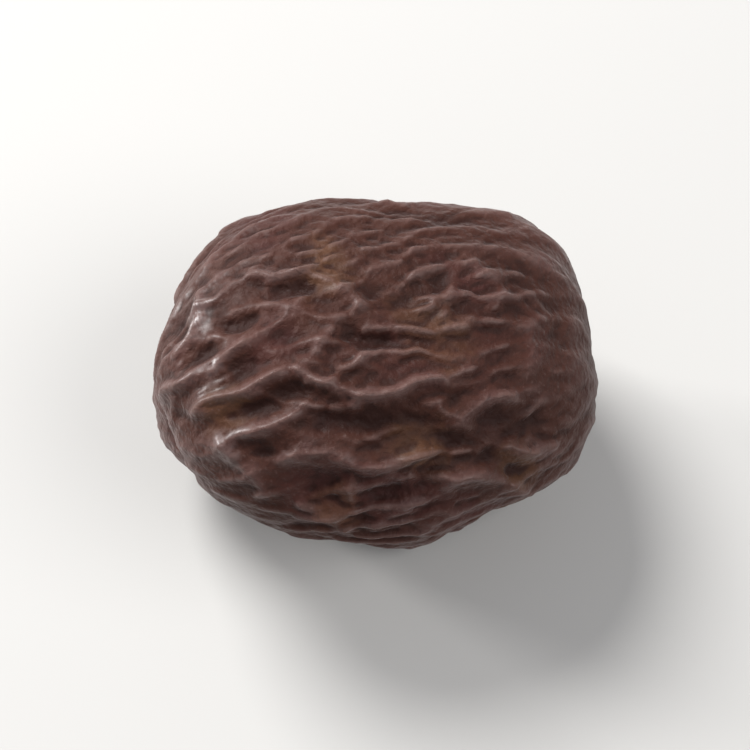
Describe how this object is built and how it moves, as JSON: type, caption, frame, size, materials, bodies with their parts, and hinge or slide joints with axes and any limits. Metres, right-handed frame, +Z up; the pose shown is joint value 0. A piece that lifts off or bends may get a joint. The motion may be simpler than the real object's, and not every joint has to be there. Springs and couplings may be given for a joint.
{
  "type": "dried jujube",
  "caption": "Whole dried jujube: a short barrel-shaped fruit with dark red-brown skin in lengthwise wrinkles, a hollow where the stalk was and a small pointed tip.",
  "frame": {"origin": "below the centre of the fruit's box, on the surface that it lies on", "axes": "+X along the fruit from its stem end to its tip, +Z up, the fruit lying on its side"},
  "size_m": [0.0198, 0.0166, 0.0149],
  "materials": {
    "skin": "dry wrinkled fruit skin, matt with a slight sheen on the crests"
  },
  "bodies": {
    "root": {"fruit": "skin"}
  },
  "joints": []
}
